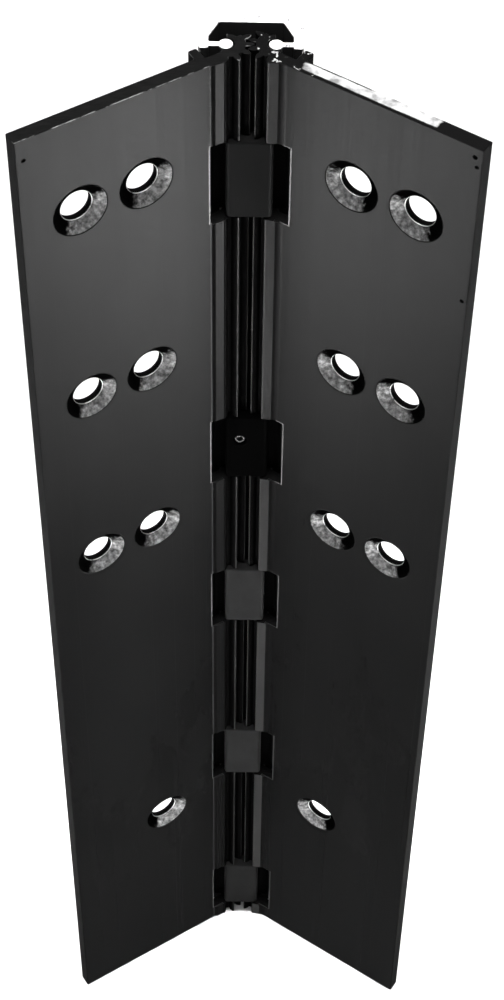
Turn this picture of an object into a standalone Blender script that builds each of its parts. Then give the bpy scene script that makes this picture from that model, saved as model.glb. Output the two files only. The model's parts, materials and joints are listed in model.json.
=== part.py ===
"""Geared continuous hinge, 12 in sample: two leaves that mesh along gear teeth, a clip-on cap and bearings.

Frame: metres, +Z up along the hinge, +Y towards the cap side, origin under the middle of the
bounding box at rest. The hinge stands part-way open, with its front faces towards -Y.
"""
import math

import bmesh
import bpy

MM = 0.001

# Whole hinge
LENGTH = 304.8 * MM
REST_HALF_ANGLE = 57.0          # degrees between each leaf and the plane of symmetry at rest
CLEARANCE = 0.3 * MM            # gap between neighbouring pieces

# Leaf cross-section, measured from the gear axis: u outwards along the leaf, n towards its back
FRONT_FACE_N = -3.95 * MM
LEAF_THICKNESS = 3.175 * MM
LEAF_WIDTH = 46.6 * MM
RIDGE_INNER_U = 5.35 * MM
RIDGE_OUTER_U = 7.25 * MM
RIDGE_TOP_N = 1.75 * MM
GROOVE_N = -1.5 * MM
GROOVE_START_U = 2.0 * MM
NOTCH_EDGE_U = 6.2 * MM
SWELL_HEIGHT = 0.35 * MM        # the front stands proud by this between the last tooth and the flat face
SWELL_LENGTH = 1.25 * MM

# Gear segment and the socket inside it
PITCH_RADIUS = 4.7 * MM
TEETH_PER_TURN = 12
TIP_RADIUS = 5.4 * MM
ROOT_RADIUS = 3.85 * MM
PRESSURE_ANGLE = 25.0           # degrees
BACKLASH_ANGLE = 0.8            # degrees taken off each flank
TOOTH_COUNT = 5
SOCKET_RADIUS = 1.65 * MM
HUB_RADIUS = 2.95 * MM
SOCKET_LIP_ANGLE = -38.7        # degrees, lip next to the groove
HUB_LIP_ANGLE = 126.0           # degrees, lip at the back
MESH_ANGLE = 270.0 - REST_HALF_ANGLE    # direction from one gear axis to the other, in the leaf's frame

# Cap cross-section, measured from the middle of the line that joins the gear axes
BEAD_RADIUS = 1.4 * MM
NECK_HALF = 0.6 * MM
CAP_OUTER_HALF = 9.8 * MM
CAP_INNER_HALF = 7.9 * MM
CAP_BACK_Y = 9.3 * MM
CAP_INNER_Y = 6.4 * MM
CAP_ARM_END_Y = -1.2 * MM
CAP_CORNER_RADIUS = 1.1 * MM
CAP_INNER_CORNER_X = 6.0 * MM
CAP_INNER_CORNER_Y = 2.2 * MM

# Bearings
NOTCH_HEIGHT = 19.84 * MM
BEARING_HEIGHT = NOTCH_HEIGHT - 2 * CLEARANCE
BEARING_FRONT_Y = -5.0 * MM
BEARING_NOSE_HALF = 4.6 * MM
BEARING_NOSE_RADIUS = 0.9 * MM
BEARING_SHOULDER_Y = -2.4 * MM
BEARING_SHOULDER_HALF = 7.5 * MM
BEARING_BACK_HALF = CAP_INNER_HALF - CLEARANCE
BEARING_SLOT_RADIUS = 1.65 * MM
BEARING_SLOT_HALF = NECK_HALF + CLEARANCE
FIRST_BEARING_Z = 15.0 * MM
BEARING_PITCH = 65.09 * MM
LOCKING_INDEX = 1               # counted from the top
LOCKING_BEARING_DROP = 12.7 * MM

# Cap set screw, in the locking bearing
SCREW_RADIUS = 1.2 * MM
SCREW_HOLE_RADIUS = 1.45 * MM
SCREW_X = -1.4 * MM
SCREW_DROP = 7.2 * MM           # below the top of the locking bearing
SCREW_FRONT_Y = BEARING_FRONT_Y + 0.5 * MM
SCREW_BACK_Y = CAP_INNER_Y - CLEARANCE
HEX_ACROSS_FLATS = 1.27 * MM
HEX_DEPTH = 1.8 * MM

# Countersunk screw holes
HOLE_RADIUS = 3.35 * MM
COUNTERSINK_RADIUS = 5.8 * MM
COUNTERSINK_DEPTH = 1.7 * MM
HOLE_COLUMN_PITCH = 14.2 * MM
OUTER_COLUMN_U = 34.1 * MM
INNER_COLUMN_U = OUTER_COLUMN_U - HOLE_COLUMN_PITCH
TOP_ROW_DROP = 22.1 * MM
HOLE_ROW_PITCH = 50.8 * MM
PAIR_ROWS = 3
LOW_HOLE_Z = 65.6 * MM

# Facets
SHARP_ANGLE = 30.0              # degrees
HOLE_SIDES = 32
SCREW_SIDES = 18
SOCKET_STEPS = 20
FLANK_STEPS = 3
CORNER_STEPS = 4

BACK_FACE_N = FRONT_FACE_N + LEAF_THICKNESS
HALF_ANGLE = math.radians(REST_HALF_ANGLE)
LEAF_REACH_Y = LEAF_WIDTH * math.cos(HALF_ANGLE) - FRONT_FACE_N * math.sin(HALF_ANGLE)
GEAR_PLANE_Y = (LEAF_REACH_Y - CAP_BACK_Y) / 2      # centres the bounding box on the origin


# ---------------------------------------------------------------- outlines

def arc(radius, start, end, steps, centre=(0.0, 0.0)):
    """Points on an arc, angles in degrees, both ends included."""
    points = []
    for step in range(steps + 1):
        angle = math.radians(start + (end - start) * step / steps)
        points.append((centre[0] + radius * math.cos(angle), centre[1] + radius * math.sin(angle)))
    return points


def involute_half_angle(radius):
    """Half the angle that a tooth fills at a radius, in degrees."""
    base_radius = PITCH_RADIUS * math.cos(math.radians(PRESSURE_ANGLE))

    def involute(at_radius):
        angle = math.acos(min(1.0, base_radius / at_radius))
        return math.tan(angle) - angle

    at_pitch = 90.0 / TEETH_PER_TURN - BACKLASH_ANGLE
    return at_pitch + math.degrees(involute(PITCH_RADIUS) - involute(radius))


def tooth(direction):
    """One tooth's outline around its direction, from root to root, by growing angle."""
    flank = [(ROOT_RADIUS, involute_half_angle(ROOT_RADIUS))]
    base_radius = PITCH_RADIUS * math.cos(math.radians(PRESSURE_ANGLE))
    for step in range(FLANK_STEPS + 1):
        radius = base_radius + (TIP_RADIUS - base_radius) * step / FLANK_STEPS
        flank.append((radius, involute_half_angle(radius)))
    points = [arc(radius, direction - half, direction - half, 1)[0] for radius, half in flank]
    points += [arc(radius, direction + half, direction + half, 1)[0] for radius, half in reversed(flank)]
    return points


def leaf_outline(first_tooth):
    """The leaf's section in its own axes (u, n), anticlockwise."""
    pitch = 360.0 / TEETH_PER_TURN
    points = [
        (LEAF_WIDTH, FRONT_FACE_N),
        (LEAF_WIDTH, BACK_FACE_N),
        (RIDGE_OUTER_U, BACK_FACE_N),
    ]
    rounding = 0.45 * MM
    points += arc(rounding, 0, 90, CORNER_STEPS, (RIDGE_OUTER_U - rounding, RIDGE_TOP_N - rounding))
    points += arc(rounding, 90, 180, CORNER_STEPS, (RIDGE_INNER_U + rounding, RIDGE_TOP_N - rounding))
    points += [(RIDGE_INNER_U, GROOVE_N), (GROOVE_START_U, GROOVE_N)]
    points += arc(SOCKET_RADIUS, SOCKET_LIP_ANGLE, HUB_LIP_ANGLE - 360.0, SOCKET_STEPS)
    hub_end = first_tooth - pitch / 2
    points += arc(HUB_RADIUS, HUB_LIP_ANGLE, hub_end - 4.0, CORNER_STEPS)
    points += arc(ROOT_RADIUS, hub_end, hub_end, 1)[:1]
    for index in range(TOOTH_COUNT - 1):
        points += tooth(first_tooth + pitch * index)
    last_tooth = first_tooth + pitch * (TOOTH_COUNT - 1)
    rising_side = FLANK_STEPS + 3
    points += tooth(last_tooth)[:rising_side]
    crest_u = TIP_RADIUS * math.cos(math.radians(last_tooth))
    points.append((crest_u + SWELL_LENGTH, FRONT_FACE_N - SWELL_HEIGHT))
    points.append((NOTCH_EDGE_U, FRONT_FACE_N))
    return points


def cap_outline():
    """The cap's section, symmetric about the middle."""
    bead_centre = (PITCH_RADIUS, 0.0)
    neck_angle = math.degrees(math.asin(NECK_HALF / BEAD_RADIUS))
    end_rounding = 0.4 * MM
    corner = CAP_CORNER_RADIUS
    half = arc(corner, 90, 0, CORNER_STEPS, (CAP_OUTER_HALF - corner, CAP_BACK_Y - corner))
    half += arc(end_rounding, 0, -90, CORNER_STEPS,
                (CAP_OUTER_HALF - end_rounding, CAP_ARM_END_Y + end_rounding))
    half += [(CAP_INNER_HALF, CAP_ARM_END_Y), (CAP_INNER_HALF, -NECK_HALF)]
    half += arc(BEAD_RADIUS, -neck_angle, neck_angle - 360.0, SOCKET_STEPS, bead_centre)
    half += [(CAP_INNER_HALF, NECK_HALF), (CAP_INNER_HALF, CAP_INNER_CORNER_Y)]
    half += [(CAP_INNER_CORNER_X, CAP_INNER_Y)]
    return mirrored_outline(half)


def bearing_outline():
    """The bearing's section: a nose between the leaves and a body that fills the cap."""
    slot_centre = (PITCH_RADIUS, 0.0)
    slot_angle = math.degrees(math.asin(BEARING_SLOT_HALF / BEARING_SLOT_RADIUS))
    nose = BEARING_NOSE_RADIUS
    half = arc(nose, -90, 0, CORNER_STEPS, (BEARING_NOSE_HALF - nose, BEARING_FRONT_Y + nose))
    half += [(BEARING_NOSE_HALF, BEARING_SHOULDER_Y)]
    half += arc(nose, -90, 0, CORNER_STEPS, (BEARING_SHOULDER_HALF - nose, BEARING_SHOULDER_Y + nose))
    half += [(BEARING_SHOULDER_HALF, -BEARING_SLOT_HALF)]
    half += arc(BEARING_SLOT_RADIUS, -slot_angle, slot_angle - 360.0, SOCKET_STEPS, slot_centre)
    half += [(BEARING_BACK_HALF, BEARING_SLOT_HALF), (BEARING_BACK_HALF, CAP_INNER_CORNER_Y)]
    half += [(CAP_INNER_CORNER_X - CLEARANCE, CAP_INNER_Y - CLEARANCE)]
    return mirrored_outline(half)


def mirrored_outline(half):
    """Close a half outline, given from one end of the symmetry line to the other."""
    return half + [(-x, y) for x, y in reversed(half)]


def signed_area(outline):
    total = 0.0
    for (x0, y0), (x1, y1) in zip(outline, outline[1:] + outline[:1]):
        total += x0 * y1 - x1 * y0
    return total / 2


# ---------------------------------------------------------------- solids

def make_material(name, colour, roughness, metallic):
    material = bpy.data.materials.new(name)
    material.use_nodes = True
    shader = material.node_tree.nodes["Principled BSDF"]
    shader.inputs["Base Color"].default_value = (*colour, 1.0)
    shader.inputs["Roughness"].default_value = roughness
    shader.inputs["Metallic"].default_value = metallic
    return material


def finish_object(name, builder, material=None):
    """Turn a bmesh into an object, smooth on its round faces and sharp at its corners."""
    bmesh.ops.recalc_face_normals(builder, faces=builder.faces)
    mesh = bpy.data.meshes.new(name)
    builder.to_mesh(mesh)
    builder.free()
    mesh.shade_smooth()
    mesh.set_sharp_from_angle(angle=math.radians(SHARP_ANGLE))
    item = bpy.data.objects.new(name, mesh)
    bpy.context.collection.objects.link(item)
    if material is not None:
        mesh.materials.append(material)
    return item


def add_prism(builder, outline, z_low, z_high):
    """Extrude an outline along +Z, with filled ends."""
    face = builder.faces.new([builder.verts.new((x, y, z_low)) for x, y in outline])
    extruded = bmesh.ops.extrude_face_region(builder, geom=[face])
    raised = [item for item in extruded["geom"] if isinstance(item, bmesh.types.BMVert)]
    bmesh.ops.translate(builder, verts=raised, vec=(0.0, 0.0, z_high - z_low))


def add_turned(builder, profile, sides, x, z):
    """Turn (radius, y) steps about the line along Y through x and z, with filled ends."""
    rings = []
    for radius, y in profile:
        circle = arc(radius, 0.0, 360.0 * (sides - 1) / sides, sides - 1, (x, z))
        rings.append([builder.verts.new((px, y, pz)) for px, pz in circle])
    for near, far in zip(rings, rings[1:]):
        for side in range(sides):
            after = (side + 1) % sides
            builder.faces.new((near[side], near[after], far[after], far[side]))
    builder.faces.new(rings[0])
    builder.faces.new(rings[-1])


def cut(item, cutter):
    """Take a cutter away from an object."""
    cutter.hide_render = True
    cutter.display_type = "WIRE"
    cutter.parent = item
    modifier = item.modifiers.new(cutter.name, "BOOLEAN")
    modifier.operation = "DIFFERENCE"
    modifier.solver = "EXACT"
    modifier.object = cutter


# ---------------------------------------------------------------- places along the hinge

def bearing_heights():
    """Middle heights of the five bearings, top first; the second is the locking one."""
    heights = [FIRST_BEARING_Z + BEARING_PITCH * step for step in range(5)]
    heights.reverse()
    heights[LOCKING_INDEX] -= LOCKING_BEARING_DROP
    return heights


def hole_places():
    """(u, z) of each screw hole in a leaf: three pairs, and one hole near the bottom."""
    places = []
    for row in range(PAIR_ROWS):
        z = LENGTH - TOP_ROW_DROP - HOLE_ROW_PITCH * row
        places += [(OUTER_COLUMN_U, z), (INNER_COLUMN_U, z)]
    places.append((INNER_COLUMN_U, LOW_HOLE_Z))
    return places


# ---------------------------------------------------------------- pieces

def make_leaf(name, side, first_tooth, material):
    """One leaf; its origin is on its gear axis. side is -1 for the left leaf, +1 for the right."""
    builder = bmesh.new()
    outline = [(side * u, n) for u, n in leaf_outline(first_tooth)]
    add_prism(builder, outline, 0.0, LENGTH)
    leaf = finish_object(name, builder, material)
    leaf.location = (side * PITCH_RADIUS, GEAR_PLANE_Y, 0.0)
    leaf.rotation_euler = (0.0, 0.0, -side * (math.pi / 2 - HALF_ANGLE))
    cut(leaf, notch_cutter(name, side))
    cut(leaf, hole_cutter(name, side))
    return leaf


def notch_cutter(name, side):
    """Boxes that take the gear away where a bearing sits."""
    builder = bmesh.new()
    reach = 2 * TIP_RADIUS
    for middle in bearing_heights():
        inner, outer = sorted((-side * reach, side * NOTCH_EDGE_U))
        box = [(inner, -reach), (outer, -reach), (outer, reach), (inner, reach)]
        add_prism(builder, box, middle - NOTCH_HEIGHT / 2, middle + NOTCH_HEIGHT / 2)
    return finish_object(name + "_notch_cutter", builder)


def hole_cutter(name, side):
    """Countersunk screw holes, entered from the front face."""
    slope = (COUNTERSINK_RADIUS - HOLE_RADIUS) / COUNTERSINK_DEPTH
    overshoot = 1.0 * MM
    profile = [
        (COUNTERSINK_RADIUS + overshoot * slope, FRONT_FACE_N - overshoot),
        (HOLE_RADIUS, FRONT_FACE_N + COUNTERSINK_DEPTH),
        (HOLE_RADIUS, BACK_FACE_N + overshoot),
    ]
    builder = bmesh.new()
    for u, z in hole_places():
        add_turned(builder, profile, HOLE_SIDES, side * u, z)
    return finish_object(name + "_hole_cutter", builder)


def make_cap(material):
    builder = bmesh.new()
    add_prism(builder, cap_outline(), 0.0, LENGTH)
    return finish_object("cap", builder, material)


def make_bearing(name, middle, material):
    builder = bmesh.new()
    add_prism(builder, bearing_outline(), middle - BEARING_HEIGHT / 2, middle + BEARING_HEIGHT / 2)
    return finish_object(name, builder, material)


def make_set_screw(z, material):
    """Headless screw with a hexagon socket in its front end."""
    builder = bmesh.new()
    add_turned(builder, [(SCREW_RADIUS, SCREW_FRONT_Y), (SCREW_RADIUS, SCREW_BACK_Y)], SCREW_SIDES, SCREW_X, z)
    screw = finish_object("cap_set_screw", builder, material)
    hexagon_radius = HEX_ACROSS_FLATS / math.sqrt(3)
    builder = bmesh.new()
    socket = [(hexagon_radius, SCREW_FRONT_Y - 1.0 * MM), (hexagon_radius, SCREW_FRONT_Y + HEX_DEPTH)]
    add_turned(builder, socket, 6, SCREW_X, z)
    cut(screw, finish_object("hex_socket_cutter", builder))
    return screw


def drill_screw_hole(bearing, z):
    """The set screw's hole, right through the locking bearing."""
    builder = bmesh.new()
    reach = 1.0 * MM
    hole = [(SCREW_HOLE_RADIUS, BEARING_FRONT_Y - reach), (SCREW_HOLE_RADIUS, CAP_INNER_Y + reach)]
    add_turned(builder, hole, SCREW_SIDES, SCREW_X, z)
    cut(bearing, finish_object("screw_hole_cutter", builder))


def make_cap_group(black_anodised, acetal, black_steel):
    """The cap with everything that travels with it, parented to an empty on the frame gear's axis."""
    pieces = [make_cap(black_anodised)]
    heights = bearing_heights()
    for index, middle in enumerate(heights):
        if index == LOCKING_INDEX:
            bearing = make_bearing("locking_bearing", middle, acetal)
            screw_z = middle + BEARING_HEIGHT / 2 - SCREW_DROP
            drill_screw_hole(bearing, screw_z)
            pieces.append(make_set_screw(screw_z, black_steel))
        else:
            bearing = make_bearing("thrust_bearing_%d" % (index + 1), middle, acetal)
        pieces.append(bearing)
    pivot = bpy.data.objects.new("cap_pivot", None)
    bpy.context.collection.objects.link(pivot)
    pivot.location = (-PITCH_RADIUS, GEAR_PLANE_Y, 0.0)
    for piece in pieces:
        piece.parent = pivot
        piece.location = (PITCH_RADIUS, 0.0, 0.0)


def main():
    for item in list(bpy.data.objects):
        bpy.data.objects.remove(item, do_unlink=True)
    black_anodised = make_material("black_anodised", (0.022, 0.022, 0.023), 0.42, 0.6)
    acetal = make_material("black_acetal", (0.03, 0.03, 0.031), 0.5, 0.0)
    black_steel = make_material("black_oxide_steel", (0.03, 0.03, 0.03), 0.4, 0.8)
    pitch = 360.0 / TEETH_PER_TURN
    make_leaf("frame_leaf", -1, MESH_ANGLE - pitch, black_anodised)
    make_leaf("door_leaf", 1, MESH_ANGLE - 1.5 * pitch, black_anodised)
    make_cap_group(black_anodised, acetal, black_steel)


main()
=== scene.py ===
"""Looks of the geared continuous hinge: fine meshes, finishes, floor, light and camera.

Each visible piece is rebuilt at a finer grain than its CAD node, in the same place and at the same size.
Cross-sections are written in a leaf's own axes (u outwards along the leaf and n towards its back, from the
gear's axis) or in the cap's axes (x across and y towards the back, from midway between the gear axes).
"""

import json
import math

import bmesh
import bpy
from mathutils import Matrix, Vector


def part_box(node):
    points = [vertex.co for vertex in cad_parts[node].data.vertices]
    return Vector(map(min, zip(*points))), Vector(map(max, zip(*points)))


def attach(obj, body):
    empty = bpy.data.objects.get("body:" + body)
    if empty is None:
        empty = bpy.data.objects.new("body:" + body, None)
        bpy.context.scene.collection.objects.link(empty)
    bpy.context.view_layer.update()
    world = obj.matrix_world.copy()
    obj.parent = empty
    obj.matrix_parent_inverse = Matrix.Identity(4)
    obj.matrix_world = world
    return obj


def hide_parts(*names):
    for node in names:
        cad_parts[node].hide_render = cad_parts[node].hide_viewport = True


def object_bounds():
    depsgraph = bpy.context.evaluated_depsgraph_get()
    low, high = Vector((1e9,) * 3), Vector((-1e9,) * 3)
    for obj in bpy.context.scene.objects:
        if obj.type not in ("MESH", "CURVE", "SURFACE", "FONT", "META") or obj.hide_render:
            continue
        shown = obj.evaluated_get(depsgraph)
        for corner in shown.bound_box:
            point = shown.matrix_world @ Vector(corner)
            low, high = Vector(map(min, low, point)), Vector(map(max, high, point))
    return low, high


MM = 0.001

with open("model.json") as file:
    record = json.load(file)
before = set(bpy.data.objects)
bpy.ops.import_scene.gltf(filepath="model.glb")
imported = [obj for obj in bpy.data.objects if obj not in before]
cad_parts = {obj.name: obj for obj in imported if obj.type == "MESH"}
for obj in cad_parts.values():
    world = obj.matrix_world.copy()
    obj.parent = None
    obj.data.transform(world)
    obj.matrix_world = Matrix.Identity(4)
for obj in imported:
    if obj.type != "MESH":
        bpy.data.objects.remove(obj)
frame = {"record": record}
CAD_LOW, CAD_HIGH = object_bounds()

# ---------------------------------------------------------------- sizes taken from the frame

JOINTS = {joint["name"]: joint for joint in frame["record"]["behaviour"]["joints"]}
FRAME_AXIS = JOINTS["cap_swing"]["pos_m"]
DOOR_AXIS = JOINTS["door_leaf_swing"]["pos_m"]
GEAR_PLANE_Y = FRAME_AXIS[1]
PITCH_RADIUS = (DOOR_AXIS[0] - FRAME_AXIS[0]) / 2
LENGTH = CAD_HIGH.z - CAD_LOW.z
OPEN_LIMIT = JOINTS["cap_swing"]["range_deg"][1]
REST_HALF_ANGLE = 90.0 - OPEN_LIMIT     # degrees between each leaf and the plane of symmetry
HALF_ANGLE = math.radians(REST_HALF_ANGLE)
BEARINGS = [
    "thrust_bearing_1",
    "locking_bearing",
    "thrust_bearing_3",
    "thrust_bearing_4",
    "thrust_bearing_5",
]

# ---------------------------------------------------------------- leaf section

# Plate, back ridge and groove
FRONT_N = -3.95 * MM
BACK_N = FRONT_N + 3.175 * MM
LEAF_WIDTH = 46.6 * MM
RIDGE_INNER_U = 5.35 * MM
RIDGE_OUTER_U = 7.25 * MM
RIDGE_TOP_N = 1.75 * MM
GROOVE_N = -1.5 * MM
GROOVE_START_U = 2.0 * MM
NOTCH_EDGE_U = 6.2 * MM
NOTCH_CLEARANCE = 0.3 * MM

# Left leaf: the face swells beside the gear, and a thin line just outside the swell is lighter, a painted
# highlight
SWELL_HEIGHT = 0.35 * MM
SWELL_LENGTH = 1.95 * MM
SWELL_END_U = 5.6 * MM
LINE_END_U = 5.95 * MM

# Right leaf: the face slopes gently into the gear, and the slope's inner part is lighter, a painted
# highlight
SLOPE_HIGHLIGHT_U = 3.5 * MM
SLOPE_END_U = 4.2 * MM
SLOPE_RADIUS = 4.0 * MM

# Gear segment, with the socket that turns on the cap's bead; angles in degrees
TEETH_PER_TURN = 12
TOOTH_PITCH = 360.0 / TEETH_PER_TURN
TOOTH_COUNT = 5
TIP_RADIUS = 5.4 * MM
ROOT_RADIUS = 3.85 * MM
PRESSURE_ANGLE = 25.0
BACKLASH_ANGLE = 0.8
SOCKET_RADIUS = 1.65 * MM
HUB_RADIUS = 2.95 * MM
SOCKET_LIP_ANGLE = -38.7
HUB_LIP_ANGLE = 126.0
MESH_ANGLE = 270.0 - REST_HALF_ANGLE    # from one gear axis to the other, in the leaf's axes

# Countersunk holes: three pairs from the top, and one hole low down
HOLE_RADIUS = 3.35 * MM
COUNTERSINK_RADIUS = 5.8 * MM
COUNTERSINK_DEPTH = 1.7 * MM
OUTER_COLUMN_U = 34.1 * MM
INNER_COLUMN_U = 19.9 * MM
TOP_ROW_DROP = 22.1 * MM
HOLE_ROW_PITCH = 50.8 * MM
PAIR_ROWS = 3
LOW_HOLE_Z = 65.6 * MM

# The sawn end of the right leaf, where it is bare: partly bare metal, partly a painted reflection
BARE_START_U = 9.5 * MM
BARE_MIDDLE_U = 23.0 * MM
BARE_END_U = 37.5 * MM
BARE_FRONT_N = -2.9 * MM
BARE_BACK_N = -0.95 * MM

# ---------------------------------------------------------------- cap and bearing sections

BEAD_RADIUS = 1.4 * MM
NECK_HALF = 0.6 * MM
CAP_OUTER_HALF = 9.8 * MM
CAP_INNER_HALF = 7.9 * MM
CAP_BACK_Y = 9.3 * MM
CAP_INNER_Y = 6.4 * MM
CAP_ARM_END_Y = -1.2 * MM
CAP_INNER_CORNER_X = 6.0 * MM
CAP_INNER_CORNER_Y = 2.2 * MM
CLEARANCE = 0.3 * MM
BEARING_FRONT_Y = -5.0 * MM
BEARING_NOSE_HALF = 4.6 * MM
BEARING_SHOULDER_Y = -2.4 * MM
BEARING_SHOULDER_HALF = 7.5 * MM
BEARING_SLOT_RADIUS = 1.65 * MM

# ---------------------------------------------------------------- set screw

SCREW_RADIUS = 1.2 * MM
SCREW_HOLE_RADIUS = 1.33 * MM
HEX_ACROSS_FLATS = 1.27 * MM
HEX_DEPTH = 1.8 * MM
THREAD_PITCH = 0.45 * MM
THREAD_DEPTH = 0.2 * MM
SCREW_NOSE = 0.35 * MM          # length of the chamfer at each end
SCREW_NOSE_TAPER = 0.18 * MM    # how much the radius loses there

# ---------------------------------------------------------------- fine detail

END_CHAMFER = 0.12 * MM
# the notch border strips are worn bright, partly a painted highlight along the notch edge
BORDER_WIDTH = 0.3 * MM         # rubbed border of a notch: beside it, above and below it, and how deep
BORDER_HEIGHT = 0.16 * MM
BORDER_SINK = 0.03 * MM
CUTTER_REACH = 12.0 * MM        # how far a notch's cutter runs clear of the gear
NEARLY = 0.1 * MM               # allowance when a point is compared with a named size
GRAIN_DEPTH = 0.02 * MM         # heights of the bumps in the finishes
DIE_LINE_DEPTH = 0.01 * MM
SKIN_DEPTH = 0.003 * MM
HOLE_SIDES = 72
SHARP_ANGLE = 32.0              # degrees; flatter joins between faces are shaded smooth
STRAIGHT_ANGLE = 176.0          # degrees; a corner this open is left alone

# Places in a leaf's list of finishes, which LEAF_FINISHES names in the same order
LEAF_SKIN, LEAF_BACK, LEAF_GEAR, LEAF_EDGE, LEAF_RIM, LEAF_END, LEAF_PAINTED_HIGHLIGHT = range(7)
LEAF_FINISHES = ("skin", "back", "gear", "edge", "rim", "end", "painted_highlight")


# ---------------------------------------------------------------- outlines

def arc(radius, start, end, steps, centre=(0.0, 0.0)):
    """Points on an arc, angles in degrees, both ends included."""
    points = []
    for step in range(steps + 1):
        angle = math.radians(start + (end - start) * step / steps)
        points.append((centre[0] + radius * math.cos(angle), centre[1] + radius * math.sin(angle)))
    return points


def corner(x, y, radius):
    """A corner that ease_corners rounds."""
    return (x, y, radius)


def ease_corners(points, step_angle=14.0):
    """Replace each (x, y, radius) corner by an arc that touches both its sides; plain points stay."""
    most = 0.45     # the largest share of a side that one arc may take
    eased = []
    count = len(points)
    for index, point in enumerate(points):
        if len(point) == 2:
            eased.append(point)
            continue
        here = Vector(point[:2])
        before = Vector(points[index - 1][:2]) - here
        after = Vector(points[(index + 1) % count][:2]) - here
        opening = before.angle(after)
        if opening > math.radians(STRAIGHT_ANGLE):
            eased.append(point[:2])
            continue
        reach = point[2] / math.tan(opening / 2)
        reach = min(reach, most * before.length, most * after.length)
        radius = reach * math.tan(opening / 2)
        start = here + before.normalized() * reach
        end = here + after.normalized() * reach
        bisector = (before.normalized() + after.normalized()).normalized()
        centre = here + bisector * (radius / math.sin(opening / 2))
        first, last = start - centre, end - centre
        turn = math.pi - opening
        steps = max(1, round(math.degrees(turn) / step_angle))
        sign = 1.0 if first.x * last.y - first.y * last.x > 0 else -1.0
        for step in range(steps + 1):
            offset = first.copy()
            offset.rotate(Matrix.Rotation(sign * turn * step / steps, 2))
            eased.append(tuple(centre + offset))
    return eased


def signed_area(outline):
    """Area inside an outline, positive when it runs anticlockwise."""
    total = 0.0
    for (x0, y0), (x1, y1) in zip(outline, outline[1:] + outline[:1]):
        total += x0 * y1 - x1 * y0
    return total / 2


def shrink(outline, distance):
    """Move every point of an anticlockwise outline inwards, square to its sides."""
    moved = []
    count = len(outline)
    for index in range(count):
        here = Vector(outline[index])
        before = (here - Vector(outline[index - 1])).normalized()
        after = (Vector(outline[(index + 1) % count]) - here).normalized()
        inward = Vector((-before.y - after.y, before.x + after.x))
        inward /= max(0.5, 1.0 + before.dot(after))
        moved.append(tuple(here + inward * distance))
    return moved


def involute_half_angle(radius):
    """Half the angle that a tooth fills at a radius, in degrees."""
    base_radius = PITCH_RADIUS * math.cos(math.radians(PRESSURE_ANGLE))

    def involute(at_radius):
        angle = math.acos(min(1.0, base_radius / at_radius))
        return math.tan(angle) - angle

    at_pitch = TOOTH_PITCH / 4 - BACKLASH_ANGLE
    return at_pitch + math.degrees(involute(PITCH_RADIUS) - involute(radius))


def tooth_flank(direction, side, steps=5):
    """One flank from root to tip; side is -1 for the flank at the smaller angle."""
    base_radius = PITCH_RADIUS * math.cos(math.radians(PRESSURE_ANGLE))
    height = TIP_RADIUS - base_radius
    radii = [ROOT_RADIUS] + [base_radius + height * step / steps for step in range(steps + 1)]
    points = []
    for index, radius in enumerate(radii):
        angle = math.radians(direction + side * involute_half_angle(radius))
        point = (radius * math.cos(angle), radius * math.sin(angle))
        if index == 0:
            point = corner(*point, 0.22 * MM)
        if index == steps + 1:
            point = corner(*point, 0.14 * MM)
        points.append(point)
    return points


def leaf_outline(side, first_tooth):
    """The leaf's section in its own axes (u, n), anticlockwise; first_tooth is a direction in degrees."""
    points = [
        corner(LEAF_WIDTH, FRONT_N, 0.22 * MM),
        corner(LEAF_WIDTH, BACK_N, 0.22 * MM),
        corner(RIDGE_OUTER_U, BACK_N, 0.4 * MM),
        corner(RIDGE_OUTER_U, RIDGE_TOP_N, 0.45 * MM),
        corner(RIDGE_INNER_U, RIDGE_TOP_N, 0.45 * MM),
        corner(RIDGE_INNER_U, GROOVE_N, 0.3 * MM),
        corner(GROOVE_START_U, GROOVE_N, 0.5 * MM),
    ]
    points += arc(SOCKET_RADIUS, SOCKET_LIP_ANGLE, HUB_LIP_ANGLE - 360.0, 36)
    hub_end = first_tooth - TOOTH_PITCH / 2
    points += arc(HUB_RADIUS, HUB_LIP_ANGLE, hub_end - 4.0, 8)
    root = math.radians(hub_end)
    points.append(corner(ROOT_RADIUS * math.cos(root), ROOT_RADIUS * math.sin(root), 0.2 * MM))
    for index in range(TOOTH_COUNT):
        direction = first_tooth + TOOTH_PITCH * index
        points += tooth_flank(direction, -1)
        if index < TOOTH_COUNT - 1:
            points += reversed(tooth_flank(direction, 1))
        else:
            points.append(tooth_flank(direction, 1)[-1])
    crest_u = TIP_RADIUS * math.cos(math.radians(direction))
    if side < 0:
        points.append(corner(crest_u + SWELL_LENGTH, FRONT_N - SWELL_HEIGHT, 0.5 * MM))
        points.append(corner(SWELL_END_U, FRONT_N, 0.5 * MM))
        points.append((LINE_END_U, FRONT_N))
    else:
        points.append(corner(SLOPE_END_U, FRONT_N, SLOPE_RADIUS))
    return ease_corners(points)


def mirrored(half):
    """Close a half outline, given from one end of the symmetry line to the other."""
    return half + [(-point[0],) + tuple(point[1:]) for point in reversed(half)]


def anticlockwise(outline):
    return outline if signed_area(outline) > 0 else outline[::-1]


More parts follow.
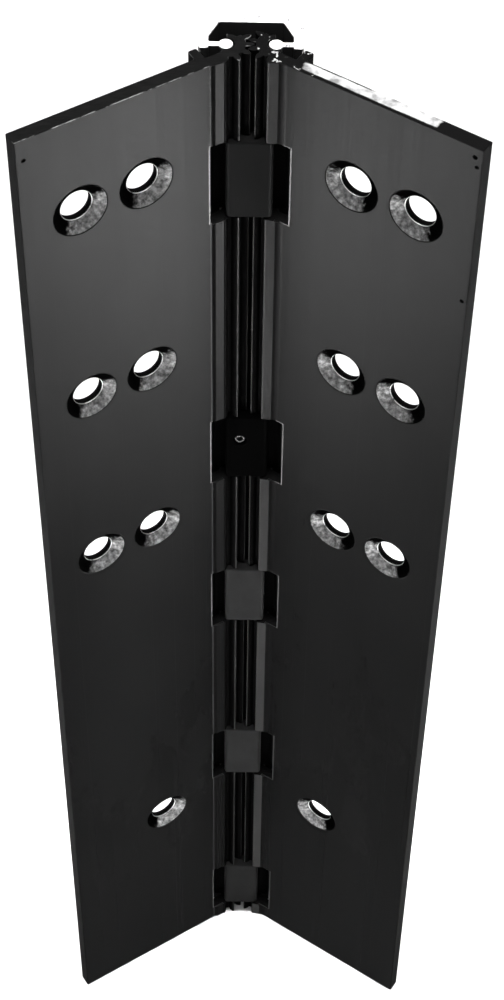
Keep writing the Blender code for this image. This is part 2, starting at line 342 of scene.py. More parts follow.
def cap_outline():
    """The cap's section: a channel, open at the front, with a neck and a bead inside each arm."""
    neck_angle = math.degrees(math.asin(NECK_HALF / BEAD_RADIUS))
    half = [
        corner(CAP_OUTER_HALF, CAP_BACK_Y, 1.1 * MM),
        corner(CAP_OUTER_HALF, CAP_ARM_END_Y, 0.5 * MM),
        corner(CAP_INNER_HALF, CAP_ARM_END_Y, 0.3 * MM),
        corner(CAP_INNER_HALF, -NECK_HALF, 0.2 * MM),
    ]
    half += arc(BEAD_RADIUS, -neck_angle, neck_angle - 360.0, 36, (PITCH_RADIUS, 0.0))
    half += [
        corner(CAP_INNER_HALF, NECK_HALF, 0.4 * MM),
        corner(CAP_INNER_HALF, CAP_INNER_CORNER_Y, 0.6 * MM),
        corner(CAP_INNER_CORNER_X, CAP_INNER_Y, 0.6 * MM),
    ]
    return anticlockwise(ease_corners(mirrored(half)))


def bearing_outline():
    """A bearing's section: nose, shoulders, a slot round each neck and bead, and the cap's inside."""
    slot_half = NECK_HALF + CLEARANCE
    slot_angle = math.degrees(math.asin(slot_half / BEARING_SLOT_RADIUS))
    half = [
        corner(BEARING_NOSE_HALF, BEARING_FRONT_Y, 0.9 * MM),
        corner(BEARING_NOSE_HALF, BEARING_SHOULDER_Y, 0.25 * MM),
        corner(BEARING_SHOULDER_HALF, BEARING_SHOULDER_Y, 0.9 * MM),
        corner(BEARING_SHOULDER_HALF, -slot_half, 0.4 * MM),
    ]
    half += arc(BEARING_SLOT_RADIUS, -slot_angle, slot_angle - 360.0, 36, (PITCH_RADIUS, 0.0))
    half += [
        corner(CAP_INNER_HALF - CLEARANCE, slot_half, 0.4 * MM),
        corner(CAP_INNER_HALF - CLEARANCE, CAP_INNER_CORNER_Y, 0.6 * MM),
        corner(CAP_INNER_CORNER_X - CLEARANCE, CAP_INNER_Y - CLEARANCE, 0.6 * MM),
    ]
    return anticlockwise(ease_corners(mirrored(half)))


# ---------------------------------------------------------------- meshes

def add_loft(builder, rings, sides=None, rim=0, end=0):
    """Join rings of equal count, each given as (outline, z), and fill both ends.

    sides lists a material for each side of the outline, rim is for the first and last band, and end for
    the two ends.
    """
    loops = [[builder.verts.new((x, y, z)) for x, y in outline] for outline, z in rings]
    last = len(loops) - 2
    for level, (low, high) in enumerate(zip(loops, loops[1:])):
        for index in range(len(low)):
            after = (index + 1) % len(low)
            face = builder.faces.new((low[index], low[after], high[after], high[index]))
            on_rim = last > 0 and level in (0, last)
            face.material_index = rim if on_rim else (sides[index] if sides else 0)
    for loop in (loops[0], loops[-1]):
        builder.faces.new(loop).material_index = end


def add_bar(builder, outline, z_low, z_high, chamfer, sides=None, rim=0, end=0):
    """An extruded outline with both end rims chamfered."""
    small = shrink(outline, chamfer)
    rings = [(small, z_low), (outline, z_low + chamfer), (outline, z_high - chamfer), (small, z_high)]
    add_loft(builder, rings, sides, rim, end)


def join_rings(builder, rings, materials=None):
    """Skin over rings of vertices of equal count and fill both ends; materials has one for each band."""
    sides = len(rings[0])
    for level, (near, far) in enumerate(zip(rings, rings[1:])):
        for side in range(sides):
            after = (side + 1) % sides
            face = builder.faces.new((near[side], near[after], far[after], far[side]))
            face.material_index = materials[level] if materials else 0
    builder.faces.new(rings[0])
    builder.faces.new(rings[-1])


def add_turned(builder, profile, x, z, sides, materials=None):
    """Turn (radius, y) steps about the line along Y through x and z, with filled ends."""
    rings = []
    for radius, y in profile:
        ring = []
        for side in range(sides):
            angle = 2 * math.pi * side / sides
            ring.append(builder.verts.new((x + radius * math.cos(angle), y, z + radius * math.sin(angle))))
        rings.append(ring)
    join_rings(builder, rings, materials)


def make_object(name, builder, materials):
    bmesh.ops.recalc_face_normals(builder, faces=builder.faces)
    mesh = bpy.data.meshes.new(name)
    builder.to_mesh(mesh)
    builder.free()
    for material in materials:
        mesh.materials.append(material)
    item = bpy.data.objects.new(name, mesh)
    bpy.context.collection.objects.link(item)
    return item


def subtract(item, cutter):
    """Cut one object out of another for good; the cut faces take the cutter's materials."""
    modifier = item.modifiers.new("cut", "BOOLEAN")
    modifier.operation = "DIFFERENCE"
    modifier.solver = "EXACT"
    modifier.material_mode = "TRANSFER"
    modifier.object = cutter
    apply_modifiers(item)
    bpy.data.objects.remove(cutter, do_unlink=True)


def apply_modifiers(item):
    bpy.context.view_layer.update()
    graph = bpy.context.evaluated_depsgraph_get()
    finished = bpy.data.meshes.new_from_object(item.evaluated_get(graph))
    item.modifiers.clear()
    old_mesh = item.data
    item.data = finished
    bpy.data.meshes.remove(old_mesh)


def smooth(item):
    """Smooth the small roundings while the broad flats stay flat."""
    item.data.shade_smooth()
    item.data.set_sharp_from_angle(angle=math.radians(SHARP_ANGLE))
    modifier = item.modifiers.new("flats", "WEIGHTED_NORMAL")
    modifier.keep_sharp = True
    apply_modifiers(item)


# ---------------------------------------------------------------- materials

class Nodes:
    """Short way to write a Principled material; keywords are the names of sockets."""

    def __init__(self, name, **sockets):
        self.material = bpy.data.materials.new(name)
        self.material.use_nodes = True
        self.tree = self.material.node_tree
        self.shader = self.tree.nodes["Principled BSDF"]
        for socket, value in sockets.items():
            self.shader.inputs[socket].default_value = value

    def add(self, kind, **sockets):
        node = self.tree.nodes.new(kind)
        for socket, value in sockets.items():
            node.inputs[socket].default_value = value
        return node

    def link(self, source, target):
        self.tree.links.new(source, target)

    def place(self, scale):
        """Object coordinates stretched by scale."""
        coordinates = self.add("ShaderNodeTexCoord")
        mapping = self.add("ShaderNodeMapping")
        mapping.inputs["Scale"].default_value = scale
        self.link(coordinates.outputs["Object"], mapping.inputs["Vector"])
        return mapping.outputs["Vector"]

    def noise(self, scale, detail=3.0):
        """Noise with about scale features to the metre along x, y and z."""
        if not isinstance(scale, tuple):
            scale = (scale,) * 3
        node = self.add("ShaderNodeTexNoise", Scale=1.0, Detail=detail, Roughness=0.55)
        self.link(self.place(scale), node.inputs["Vector"])
        return node.outputs["Fac"]

    def ramp(self, source, stops):
        """Colour by source; each stop is a position with a grey or an (r, g, b) colour."""
        node = self.add("ShaderNodeValToRGB")
        elements = node.color_ramp.elements
        while len(elements) < len(stops):
            elements.new(0.5)
        for element, (position, value) in zip(elements, stops):
            element.position = position
            element.color = (*value, 1.0) if isinstance(value, tuple) else (value, value, value, 1.0)
        self.link(source, node.inputs["Fac"])
        return node.outputs["Color"]

    def math(self, operation, first, second, third=None):
        node = self.add("ShaderNodeMath")
        node.operation = operation
        for socket, value in zip(node.inputs, (first, second, third)):
            if isinstance(value, (int, float)):
                socket.default_value = value
            elif value is not None:
                self.link(value, socket)
        return node.outputs["Value"]

    def distance_along(self, base, direction):
        """Distance from base along a direction, in metres."""
        coordinates = self.add("ShaderNodeTexCoord")
        from_base = self.add("ShaderNodeVectorMath")
        from_base.operation = "SUBTRACT"
        self.link(coordinates.outputs["Object"], from_base.inputs[0])
        from_base.inputs[1].default_value = base
        along = self.add("ShaderNodeVectorMath")
        along.operation = "DOT_PRODUCT"
        self.link(from_base.outputs["Vector"], along.inputs[0])
        along.inputs[1].default_value = direction
        return along.outputs["Value"]

    def band(self, source, low, high, soft):
        """1 between low and high and 0 outside, over borders 2 * soft wide."""
        sides = []
        for border, sign in ((low, 1.0), (high, -1.0)):
            node = self.add("ShaderNodeMapRange")
            node.inputs["From Min"].default_value = border - sign * soft
            node.inputs["From Max"].default_value = border + sign * soft
            self.link(source, node.inputs["Value"])
            sides.append(node.outputs["Result"])
        return self.math("MULTIPLY", sides[0], sides[1])

    def mix(self, factor, low, high):
        """Blend from the grey low to the colour output high."""
        node = self.add("ShaderNodeMix")
        node.data_type = "RGBA"
        self.link(factor, node.inputs["Factor"])
        for socket in node.inputs:
            if socket.type == "RGBA" and socket.name == "A":
                socket.default_value = (low, low, low, 1.0)
            if socket.type == "RGBA" and socket.name == "B":
                self.link(high, socket)
        return next(socket for socket in node.outputs if socket.type == "RGBA")

    def bump(self, source, distance):
        """Raise the surface by source, on top of any bump it has already."""
        node = self.add("ShaderNodeBump", Distance=distance, Strength=1.0)
        self.link(source, node.inputs["Height"])
        previous = self.shader.inputs["Normal"]
        if previous.is_linked:
            self.link(previous.links[0].from_socket, node.inputs["Normal"])
        self.link(node.outputs["Normal"], previous)

    def colour(self, source):
        self.link(source, self.shader.inputs["Base Color"])

    def roughness(self, source):
        self.link(source, self.shader.inputs["Roughness"])


def anodised(name, gloss, shade, roughness):
    """Black anodised extrusion: faint die lines along the length, cloudy gloss."""
    look = Nodes(name, Metallic=0.0, IOR=gloss)
    die_lines = look.noise((2600.0, 2600.0, 3.0), detail=4.0)
    clouds = look.noise((60.0, 60.0, 25.0), detail=5.0)
    look.colour(look.ramp(clouds, [(0.3, shade * 0.65), (0.7, shade * 1.4)]))
    look.roughness(look.ramp(die_lines, [(0.25, roughness * 0.84), (0.75, roughness * 1.16)]))
    look.bump(die_lines, DIE_LINE_DEPTH)
    look.bump(look.noise(4200.0, detail=2.0), SKIN_DEPTH)
    return look.material


def matt_black(name, shade=0.003):
    """Sawn or milled, then anodised: matt and nearly black, with fine tool marks."""
    look = Nodes(name, Metallic=0.0, IOR=1.03)
    marks = look.noise((500.0, 4000.0, 900.0), detail=4.0)
    look.colour(look.ramp(marks, [(0.3, shade * 0.6), (0.7, shade * 1.8)]))
    look.roughness(look.ramp(marks, [(0.2, 0.50), (0.8, 0.72)]))
    look.bump(marks, GRAIN_DEPTH)
    return look.material


def bare_aluminium(name):
    """Saw-cut bare aluminium: bright, with short saw lines and a few darker smudges."""
    look = Nodes(name, Metallic=1.0)
    saw = look.noise((700.0, 5200.0, 700.0), detail=4.0)
    smudge = look.noise(900.0, detail=4.0)
    stops = [(0.33, (0.16, 0.16, 0.165)), (0.43, 0.80), (0.8, (0.94, 0.94, 0.93))]
    look.colour(look.ramp(smudge, stops))
    look.roughness(look.ramp(saw, [(0.2, 0.30), (0.8, 0.48)]))
    look.bump(saw, GRAIN_DEPTH)
    return look.material


def worn_edge_with_highlight(name, bright, cover):
    """An edge where the black has rubbed through in patches, the bright metal partly a painted highlight
    along the edge; cover is how much of it is bright, 0 to 1.
    """
    look = Nodes(name, Metallic=1.0)
    patches = look.noise(260.0, detail=4.0)
    start = 0.72 - 0.45 * cover     # the noise runs from about 0.27 to 0.72
    dark = 0.008
    look.colour(look.ramp(patches, [(start, dark), (start + 0.10, bright)]))
    grain = look.noise(3000.0)
    look.roughness(look.ramp(grain, [(0.2, 0.35), (0.8, 0.5)]))
    return look.material


def bare_end_and_painted_reflection(name, axis, direction):
    """The sawn end of a leaf: bare along its middle, black at the gear, the tip and the front edge; where
    it is bare and where black is partly bare metal, partly a painted reflection.

    axis is the leaf's gear axis and direction its way out. The bare part's borders wander with a noise.
    """
    soft_along = 0.5 * MM
    soft_across = 0.12 * MM
    past_back = 1.0 * MM            # beyond the back face, so that the bare part reaches the back edge
    gear_low = -7.0 * MM            # bright specks lie from behind the gear to just past BARE_START_U
    gear_high = BARE_START_U + 2.0 * MM
    look = Nodes(name)
    across = (-direction[1], direction[0], 0.0)
    base = (axis[0], axis[1], 0.0)
    along_leaf = look.distance_along(base, direction)
    through_leaf = look.distance_along(base, across)
    wander = look.noise(260.0, detail=4.0)
    smudge = look.noise(420.0)
    speck = look.noise(900.0, detail=2.0)
    ragged = look.math("MULTIPLY_ADD", wander, 3.0 * MM, along_leaf)
    middle = look.band(ragged, BARE_START_U, BARE_END_U, soft_along)
    edge_shift = look.math("MULTIPLY_ADD", wander, 0.5 * MM, through_leaf)
    inside = look.band(edge_shift, BARE_FRONT_N, BARE_BACK_N, soft_across)
    to_back = look.band(edge_shift, BARE_FRONT_N, past_back, soft_across)
    outer_half = look.band(ragged, BARE_MIDDLE_U, BARE_END_U, soft_along)
    inside = look.math("MAXIMUM", inside, look.math("MULTIPLY", to_back, outer_half))
    bare = look.math("MULTIPLY", middle, inside)
    specks = look.ramp(speck, [(0.62, 0.0), (0.66, 1.0)])
    gear_end = look.band(along_leaf, gear_low, gear_high, soft_along)
    gear_specks = look.math("MULTIPLY", specks, gear_end)
    bare = look.math("MAXIMUM", bare, gear_specks)
    bright = look.ramp(smudge, [(0.34, 0.15), (0.48, 0.30), (0.62, (0.42, 0.42, 0.41))])
    look.colour(look.mix(bare, 0.003, bright))
    look.link(bare, look.shader.inputs["Metallic"])
    look.link(bare, look.shader.inputs["Specular IOR Level"])
    look.roughness(look.ramp(bare, [(0.0, 0.62), (1.0, 0.38)]))
    look.bump(look.noise((700.0, 5200.0, 700.0), detail=4.0), GRAIN_DEPTH)
    return look.material


def countersunk(name, side):
    """Machined cone: bright satin metal low down and towards the gear, where it faces up, as a painted
    highlight, and near black on the rest as painted shade.
    """
    upward = 1.1        # how much more the bright part faces up than out along the leaf
    look = Nodes(name, IOR=1.0)
    mottle = look.noise(1100.0, detail=5.0)
    coordinates = look.add("ShaderNodeTexCoord")
    facing = look.add("ShaderNodeVectorMath")
    facing.operation = "DOT_PRODUCT"
    look.link(coordinates.outputs["Normal"], facing.inputs[0])
    # the painted highlight falls on the side of the cone that faces this way; the rest is painted shade
    painted_light_way = Vector(leaf_direction(side)) + Vector((0.0, 0.0, upward))
    facing.inputs[1].default_value = painted_light_way.normalized()
    uneven = look.math("MULTIPLY_ADD", mottle, 0.5, facing.outputs["Value"])
    painted_highlight = look.ramp(uneven, [(0.38, 0.0), (0.86, 1.0)])
    bright = look.ramp(mottle, [(0.32, 0.08), (0.55, 0.25), (0.75, 0.48)])
    look.colour(look.mix(painted_highlight, 0.0003, bright))
    look.link(painted_highlight, look.shader.inputs["Metallic"])
    look.roughness(look.ramp(mottle, [(0.2, 0.26), (0.8, 0.42)]))
    look.bump(mottle, GRAIN_DEPTH)
    return look.material


def acetal(name, shade, gloss):
    """Moulded acetal: soft sheen, fine spark texture."""
    look = Nodes(name, Metallic=0.0, IOR=gloss)
    grain = look.noise(2500.0)
    clouds = look.noise((220.0, 220.0, 120.0))
    look.colour(look.ramp(clouds, [(0.3, shade * 0.8), (0.7, shade * 1.25)]))
    look.roughness(look.ramp(grain, [(0.2, 0.42), (0.8, 0.58)]))
    look.bump(grain, GRAIN_DEPTH)
    return look.material


def black_oxide(name):
    """Blackened steel: dark metal with a fine grain."""
    look = Nodes(name, Metallic=0.85)
    grain = look.noise(2500.0, detail=2.0)
    look.colour(look.ramp(grain, [(0.3, 0.05), (0.7, (0.11, 0.11, 0.108))]))
    look.roughness(look.ramp(grain, [(0.2, 0.28), (0.8, 0.45)]))
    return look.material


def floor_paper(name):
    """White matt paper."""
    look = Nodes(name, Metallic=0.0, IOR=1.4)
    grain = look.noise(40.0, detail=4.0)
    look.colour(look.ramp(grain, [(0.3, 0.93), (0.7, 0.95)]))
    look.roughness(look.ramp(grain, [(0.3, 0.75), (0.7, 0.85)]))
    return look.material


# ---------------------------------------------------------------- places along the hinge

def notch_span(bearing):
    """Lower and upper end of the notch round a bearing."""
    low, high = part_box(bearing)
    return low.z - NOTCH_CLEARANCE, high.z + NOTCH_CLEARANCE


def hole_places():
    """(u, z) of each hole's middle."""
    places = []
    for row in range(PAIR_ROWS):
        z = LENGTH - TOP_ROW_DROP - HOLE_ROW_PITCH * row
        places += [(OUTER_COLUMN_U, z), (INNER_COLUMN_U, z)]
    places.append((INNER_COLUMN_U, LOW_HOLE_Z))
    return places


# ---------------------------------------------------------------- pieces

def place(item, axis, turn=0.0):
    """Move the mesh itself, so that the object's own box is the piece's box."""
    item.data.transform(Matrix.Translation((axis[0], axis[1], 0.0)) @ Matrix.Rotation(turn, 4, "Z"))


def leaf_direction(side):
    """The way out along a leaf from its gear axis."""
    return (side * math.sin(HALF_ANGLE), -math.cos(HALF_ANGLE), 0.0)


def leaf_side_materials(outline, side, first_tooth):
    """The finish of each side of the section.

    Tooth flanks and hub are duller than the faces, the outer edge and the back ridge are matt black,
    and the tooth tips and a strip of the face beside the gear are lighter, a painted highlight.
    """
    last_tip = math.radians(first_tooth + TOOTH_PITCH * (TOOTH_COUNT - 1))
    strip_start = TIP_RADIUS * math.cos(last_tip) - 0.2 * MM
    strip_back = FRONT_N + 0.3 * MM
    edge_start = LEAF_WIDTH - 0.24 * MM     # the outer edge with its roundings
    if side > 0:
        highlight_low, highlight_high = 0.0, SLOPE_HIGHLIGHT_U
    else:
        highlight_low, highlight_high = SWELL_END_U, LINE_END_U
    places = []
    for (x0, y0), (x1, y1) in zip(outline, outline[1:] + outline[:1]):
        u, n = side * (x0 + x1) / 2, (y0 + y1) / 2
        from_axis = math.hypot(u, n)
        on_strip = u > strip_start and n < strip_back
        in_gear = from_axis < TIP_RADIUS + NEARLY / 2 and not on_strip
        if in_gear and from_axis < TIP_RADIUS - NEARLY:
            places.append(LEAF_GEAR)
        elif in_gear or (on_strip and highlight_low < u < highlight_high):
            places.append(LEAF_PAINTED_HIGHLIGHT)
        elif u > edge_start or n > BACK_N + NEARLY:
            places.append(LEAF_EDGE)
        elif n > (FRONT_N + BACK_N) / 2:
            places.append(LEAF_BACK)
        else:
            places.append(LEAF_SKIN)
    return places


def make_leaf(node, side, first_tooth, axis, finishes, rack_marks):
    """One leaf, built about its gear axis. side is -1 for the left leaf, +1 for the right."""
    outline = anticlockwise([(side * u, n) for u, n in leaf_outline(side, first_tooth)])
    builder = bmesh.new()
    sides = leaf_side_materials(outline, side, first_tooth)
    add_bar(builder, outline, 0.0, LENGTH, END_CHAMFER, sides, LEAF_RIM, LEAF_END)
    leaf = make_object(node + "_body", builder, [finishes[name] for name in LEAF_FINISHES])
    subtract(leaf, notch_cutter(side, finishes))
    subtract(leaf, border_cutter(side, finishes["lip"]))
    subtract(leaf, hole_cutter(side, finishes))
    subtract(leaf, rack_mark_cutter(side, rack_marks, finishes["notch"]))
    place(leaf, axis, -side * (math.pi / 2 - HALF_ANGLE))
    smooth(leaf)
    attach(leaf, node)
    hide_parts(node)
    return leaf


def notch_edge(side):
    """Where a notch ends; on the left leaf the bright strip lies inside that line."""
    return NOTCH_EDGE_U if side > 0 else NOTCH_EDGE_U - BORDER_WIDTH


def notch_cutter(side, finishes):
    """The space cut for each bearing; a thin strip of the face along its side is worn bright, partly a
    painted highlight.
    """
    edge = notch_edge(side)
    outline = [
        (-CUTTER_REACH, -CUTTER_REACH),
        (edge + BORDER_WIDTH, -CUTTER_REACH),
        (edge + BORDER_WIDTH, FRONT_N + BORDER_SINK / 2),
        (edge, FRONT_N + BORDER_SINK),
        (edge, CUTTER_REACH),
        (-CUTTER_REACH, CUTTER_REACH),
    ]
    sides = [0, 1, 1, 0, 0, 0]      # 1 on the strip and its outer wall
    outline = [(side * u, n) for u, n in outline]
    if signed_area(outline) < 0:
        outline = outline[::-1]
        sides = sides[-2::-1] + sides[-1:]      # each finish stays with its own side
    builder = bmesh.new()
    for bearing in BEARINGS:
        low, high = notch_span(bearing)
        add_loft(builder, [(outline, low), (outline, high)], sides)
    return make_object("notch_cutter", builder, [finishes["notch"], finishes["lip"]])


def border_cutter(side, finish):
    """The worn bright strips of face above and below each notch, partly a painted highlight."""
    inner = 3.0 * MM        # far enough in for the strips to cross the whole swell or slope
    outer = notch_edge(side) + BORDER_WIDTH
    floor_n = FRONT_N + BORDER_SINK
    outline = [(inner, -CUTTER_REACH), (outer, -CUTTER_REACH), (outer, floor_n), (inner, floor_n)]
    outline = anticlockwise([(side * u, n) for u, n in outline])
    builder = bmesh.new()
    for bearing in BEARINGS:
        low, high = notch_span(bearing)
        add_loft(builder, [(outline, low - BORDER_HEIGHT), (outline, high + BORDER_HEIGHT)])
    return make_object("border_cutter", builder, [finish])


def hole_cutter(side, finishes):
    """Countersunk holes: a broken rim, the cone, a crisp edge at its foot and a plain bore."""
    slope = (COUNTERSINK_RADIUS - HOLE_RADIUS) / COUNTERSINK_DEPTH
    rim = 0.12 * MM
    foot = 0.1 * MM
    in_front = 0.3 * MM         # how far the cutter starts in front of the face
    skim = 0.001 * MM           # keeps the cutter's rim off the plane of the face
    behind = 0.35 * MM          # how far it runs out at the back
    profile = [
        (COUNTERSINK_RADIUS + rim + 3 * in_front, FRONT_N - in_front),
        (COUNTERSINK_RADIUS + rim, FRONT_N + skim),
        (COUNTERSINK_RADIUS - rim, FRONT_N + rim / slope),
        (HOLE_RADIUS + foot, FRONT_N + COUNTERSINK_DEPTH - foot / slope),
        (HOLE_RADIUS, FRONT_N + COUNTERSINK_DEPTH + foot),
        (HOLE_RADIUS, BACK_N + behind),
    ]
    levels = [0, 0, 1, 2, 3]    # skin in front and on the rim, then cone, foot and bore
    builder = bmesh.new()
    for u, z in hole_places():
        add_turned(builder, profile, side * u, z, HOLE_SIDES, levels)
    materials = [finishes["skin"], finishes["cone"], finishes["ring"], finishes["bore"]]
    return make_object("hole_cutter", builder, materials)


def rack_mark_cutter(side, marks, finish):
    """Tiny pits where the leaf hung on the anodising rack.

    Each mark is its distance in from the outer edge, its distance below the top and its radius.
    """
    sides = 16
    builder = bmesh.new()
    for inset, drop, radius in marks:
        profile = [
            (radius * 1.25, FRONT_N - radius * 0.3),
            (radius, FRONT_N + radius * 0.1),
            (radius * 0.45, FRONT_N + radius * 0.9),
        ]
        add_turned(builder, profile, side * (LEAF_WIDTH - inset), LENGTH - drop, sides)
    return make_object("rack_mark_cutter", builder, [finish])


def make_cap(skin, bare):
    """The cap extrusion, bare where the saw cut its ends."""
    builder = bmesh.new()
    add_bar(builder, cap_outline(), 0.0, LENGTH, END_CHAMFER, None, 1, 1)
    cap = make_object("cap_extrusion", builder, [skin, bare])
    place(cap, (0.0, GEAR_PLANE_Y))
    smooth(cap)
    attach(cap, "cap")
    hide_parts("cap")


def bearing_side_materials(outline):
    """0 on the nose, and 1 on the shoulders and the slots, which take a darker copy of the acetal: painted
    shade in the recess beside the nose.
    """
    nose_end = BEARING_NOSE_HALF + 0.01 * MM
    nose_back = BEARING_SHOULDER_Y - 0.3 * MM
    places = []
    for (x0, y0), (x1, y1) in zip(outline, outline[1:] + outline[:1]):
        x, y = abs(x0 + x1) / 2, (y0 + y1) / 2
        places.append(1 if x > nose_end or y > nose_back else 0)
    return places


def make_bearing(node, finish, shoulder_shade_finish):
    """A bearing block with rounded ends; the locking bearing is drilled for its screw."""
    low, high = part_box(node)
    outline = bearing_outline()
    builder = bmesh.new()
    edge = 0.3 * MM         # rounding of both ends, in two steps
    near = 0.08 * MM
    rings = [
        (shrink(outline, edge), low.z),
        (shrink(outline, near), low.z + edge - near),
        (outline, low.z + 2 * edge),
        (outline, high.z - 2 * edge),
        (shrink(outline, near), high.z - edge + near),
        (shrink(outline, edge), high.z),
    ]
    add_loft(builder, rings, bearing_side_materials(outline), 0, 0)
    bearing = make_object(node + "_block", builder, [finish, shoulder_shade_finish])
    place(bearing, (0.0, GEAR_PLANE_Y))
    if node == "locking_bearing":
        drill_screw_hole(bearing, finish)
    smooth(bearing)
    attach(bearing, "cap")
    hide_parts(node)


def screw_middle():
    low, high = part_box("cap_set_screw")
    return (low + high) / 2


def drill_screw_hole(bearing, finish):
    """A hole through the block, with a chamfered mouth."""
    sides = 48
    flare = 0.25 * MM
    front = GEAR_PLANE_Y + BEARING_FRONT_Y
    profile = [
        (SCREW_HOLE_RADIUS + 2 * flare, front - flare),
        (SCREW_HOLE_RADIUS, front + flare),
        (SCREW_HOLE_RADIUS, GEAR_PLANE_Y + CAP_INNER_Y),
    ]
    middle = screw_middle()
    builder = bmesh.new()
    add_turned(builder, profile, middle.x, middle.z, sides)
    subtract(bearing, make_object("screw_hole_cutter", builder, [finish]))


def thread_rings(builder):
    """Rings of the set screw from front to back: a helical groove that fades out at the chamfered ends."""
    sides = 24
    rows_per_turn = 8
    low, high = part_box("cap_set_screw")
    middle = screw_middle()
    length = high.y - low.y
    rows = round(length / THREAD_PITCH * rows_per_turn)
    rings = []
    for row in range(rows + 1):
        along = length * row / rows
        full = min(1.0, min(along, length - along) / SCREW_NOSE)
        ring = []
        for side in range(sides):
            phase = (along / THREAD_PITCH + side / sides) % 1.0
            groove = THREAD_DEPTH * (1.0 - abs(2.0 * phase - 1.0)) * full
            radius = SCREW_RADIUS - groove - SCREW_NOSE_TAPER * (1.0 - full)
            angle = 2 * math.pi * side / sides
            x = middle.x + radius * math.cos(angle)
            z = middle.z + radius * math.sin(angle)
            ring.append(builder.verts.new((x, low.y + along, z)))
        rings.append(ring)
    return rings


def socket_cutter(finish):
    """The hexagon in the screw's front end, with a lead-in and a drill point at its bottom."""
    lead_in = 0.12 * MM
    point = 0.3 * MM
    radius = HEX_ACROSS_FLATS / math.sqrt(3)
    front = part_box("cap_set_screw")[0].y
    middle = screw_middle()
    profile = [
        (radius + 2 * lead_in, front - lead_in),
        (radius, front + lead_in),
        (radius, front + HEX_DEPTH),
        (radius / 5, front + HEX_DEPTH + point),
    ]
    builder = bmesh.new()
    add_turned(builder, profile, middle.x, middle.z, 6)
    return make_object("socket_cutter", builder, [finish])


def make_set_screw(finish):
    """Headless screw with a real helix for a thread and a hexagon socket."""
    builder = bmesh.new()
    join_rings(builder, thread_rings(builder))
    screw = make_object("set_screw_threaded", builder, [finish])
    subtract(screw, socket_cutter(finish))
    smooth(screw)
    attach(screw, "cap")
    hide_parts("cap_set_screw")


# ---------------------------------------------------------------- stage

def make_floor():
    """A sheet of paper so wide that its far edge is out of every view."""
    half = 15.0
    gap = 0.2 * MM
    corners = [(-half, -half), (half, -half), (half, half), (-half, half)]
    builder = bmesh.new()
    builder.faces.new([builder.verts.new((x, y, 0.0)) for x, y in corners])
    floor = make_object("floor", builder, [floor_paper("floor_paper")])
    floor.location.z = CAD_LOW.z - gap


def aim(item, target):
    direction = Vector(target) - item.location
    item.rotation_mode = "QUATERNION"
    item.rotation_quaternion = direction.to_track_quat("-Z", "Y")


def add_softbox(name, location, target, width, height, power, spread=180.0):
    """An area lamp aimed at target; power in watts, spread in degrees."""
    lamp = bpy.data.lights.new(name, "AREA")
    lamp.shape = "RECTANGLE"
    lamp.size = width
    lamp.size_y = height
    lamp.energy = power
    lamp.spread = math.radians(spread)
    item = bpy.data.objects.new(name, lamp)
    bpy.context.collection.objects.link(item)
    item.location = location
    item.visible_camera = False
    aim(item, target)


def make_light():
    """Soft light from above and behind, a narrow lamp overhead, and two low lamps in front.

    The key lights the whole scene and the back light the sawn ends. The top lamp keeps the paper between
    the leaves white. The low lamps, one before each leaf, spread too little to reach the leaves: they light
    the paper whose reflection makes the leaves bright at the top and dark at the bottom.
    """
    world = bpy.data.worlds.new("studio")
    bpy.context.scene.world = world
    world.use_nodes = True
    background = world.node_tree.nodes["Background"]
    background.inputs["Color"].default_value = (1.0, 1.0, 1.0, 1.0)
    background.inputs["Strength"].default_value = 0.45
    middle = (0.0, 0.0, LENGTH / 2)
    add_softbox("key", (0.0, 0.20, 1.05), (0.0, 0.20, 0.0), 0.8, 0.8, 10.0)
    add_softbox("back", (0.0, 0.85, 1.30), middle, 0.9, 0.6, 4.0)
    add_softbox("top", (0.0, -0.06, 1.0), (0.0, -0.06, 0.0), 0.15, 0.15, 0.5, 30.0)
    low_y = -0.17
    low_height = 0.14
    low_size = 0.14
    low_spread = 119.0
    for name, x, power in (("low_right", 0.30, 18.5), ("low_left", -0.30, 13.0)):
        add_softbox(name, (x, low_y, low_height), (x, low_y, 0.0), low_size, low_size, power, low_spread)


def make_camera():
    """The photograph's viewpoint, fitted to its edges and holes: from the front, about 50 degrees down."""
    standpoint = (2.37 * MM, GEAR_PLANE_Y - 345.95 * MM, 584.3 * MM)
    down_tilt = math.radians(49.85)
    heading = math.radians(0.153)
    bank = math.radians(0.866)
    data = bpy.data.cameras.new("camera")
    data.sensor_fit = "VERTICAL"
    data.sensor_height = 36.0
    data.sensor_width = 36.0
    data.lens = 85.15
    data.clip_start = 0.01
    data.clip_end = 20.0
    camera = bpy.data.objects.new("camera", data)
    bpy.context.collection.objects.link(camera)
    camera.matrix_world = (
        Matrix.Translation(standpoint)
        @ Matrix.Rotation(heading, 4, "Z")
        @ Matrix.Rotation(math.pi / 2 - down_tilt, 4, "X")
        @ Matrix.Rotation(bank, 4, "Z")
    )
    scene = bpy.context.scene
    scene.camera = camera
    scene.view_settings.view_transform = "Standard"


# ---------------------------------------------------------------- everything together

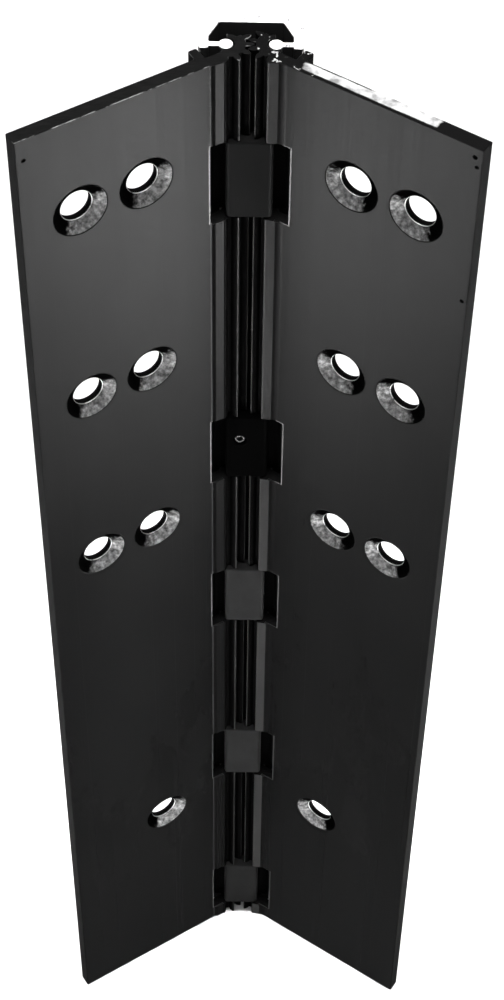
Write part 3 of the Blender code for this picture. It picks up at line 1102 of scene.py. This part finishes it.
def leaf_finishes():
    """The left leaf's finishes; the right leaf shares most of them."""
    return {
        "skin": anodised("black_anodised_face", gloss=1.045, shade=0.0016, roughness=0.25),
        "back": anodised("black_anodised", gloss=1.20, shade=0.013, roughness=0.42),
        # gear flanks a darker black than the other matt faces: painted shade in the channel between the
        # gears
        "gear": matt_black("gear_flank", shade=0.0008),
        # painted highlight: a lighter copy of the face, on the thin line beside the swell and on the tooth
        # tips
        "painted_highlight": anodised("painted_highlight_line", gloss=1.045, shade=0.0130, roughness=0.25),
        "edge": matt_black("outer_edge_black"),
        # bright end rim: edge wear, partly a painted highlight along the front edge
        "rim": worn_edge_with_highlight("worn_end_edge_highlight", bright=0.30, cover=0.55),
        "end": matt_black("leaf_end_black"),
        "notch": matt_black("notch_black"),
        # worn notch border, its bright metal partly a painted highlight along the notch edge
        "lip": worn_edge_with_highlight("worn_notch_edge_highlight", bright=0.020, cover=1.0),
        "cone": countersunk("countersink_left", -1),
        "ring": bare_aluminium("countersink_inner_edge"),
        "bore": matt_black("hole_wall_black"),
    }


def right_leaf_finishes(shared):
    """The right leaf's end is bare in its middle, partly a painted reflection, its edges are darker and its
    slope is lighter, a painted highlight.
    """
    finishes = dict(shared)
    # bare middle of the sawn end: partly bare metal, partly a painted reflection
    finishes["end"] = bare_end_and_painted_reflection("bare_end_and_painted_reflection", DOOR_AXIS, leaf_direction(1))
    finishes["rim"] = worn_edge_with_highlight("dark_end_edge", bright=0.60, cover=0.10)
    # painted highlight on the slope's inner part and the tooth tips: a lighter, glossier copy of the face
    finishes["painted_highlight"] = anodised("painted_highlight_slope", gloss=1.12, shade=0.0105, roughness=0.30)
    finishes["cone"] = countersunk("countersink_right", 1)
    return finishes


def make_leaves(finishes):
    """Both leaves; the right one's teeth are half a pitch over, so that the two sets mesh."""
    left_marks = [(1.65 * MM, 4.8 * MM, 0.45 * MM)]
    right_marks = [
        (1.65 * MM, 2.2 * MM, 0.5 * MM),
        (1.1 * MM, 4.3 * MM, 0.4 * MM),
        (1.2 * MM, 38.0 * MM, 0.45 * MM),
    ]
    make_leaf("frame_leaf", -1, MESH_ANGLE - TOOTH_PITCH, FRAME_AXIS, finishes, left_marks)
    right = right_leaf_finishes(finishes)
    make_leaf("door_leaf", 1, MESH_ANGLE - 1.5 * TOOTH_PITCH, DOOR_AXIS, right, right_marks)


def make_bearings():
    """Three charcoal bearings, a darker one at the top, and the locking bearing darker still."""
    charcoal = acetal("acetal_charcoal", shade=0.0070, gloss=1.075)
    grey_black = acetal("acetal_grey_black", shade=0.0030, gloss=1.055)
    deep_black = acetal("acetal_deep_black", shade=0.0005, gloss=1.015)
    # painted shade: a darker copy of the acetal for the shoulders and slots, in the recess beside the nose
    shoulder_shade = acetal("acetal_shoulder_painted_shade", shade=0.0010, gloss=1.03)
    finishes = dict.fromkeys(BEARINGS, charcoal)
    finishes.update(thrust_bearing_1=grey_black, locking_bearing=deep_black)
    for node in BEARINGS:
        make_bearing(node, finishes[node], shoulder_shade)


def main():
    finishes = leaf_finishes()
    make_leaves(finishes)
    make_cap(finishes["back"], bare_aluminium("bare_saw_cut"))
    make_bearings()
    make_set_screw(black_oxide("black_oxide"))
    make_floor()
    make_light()
    make_camera()


main()
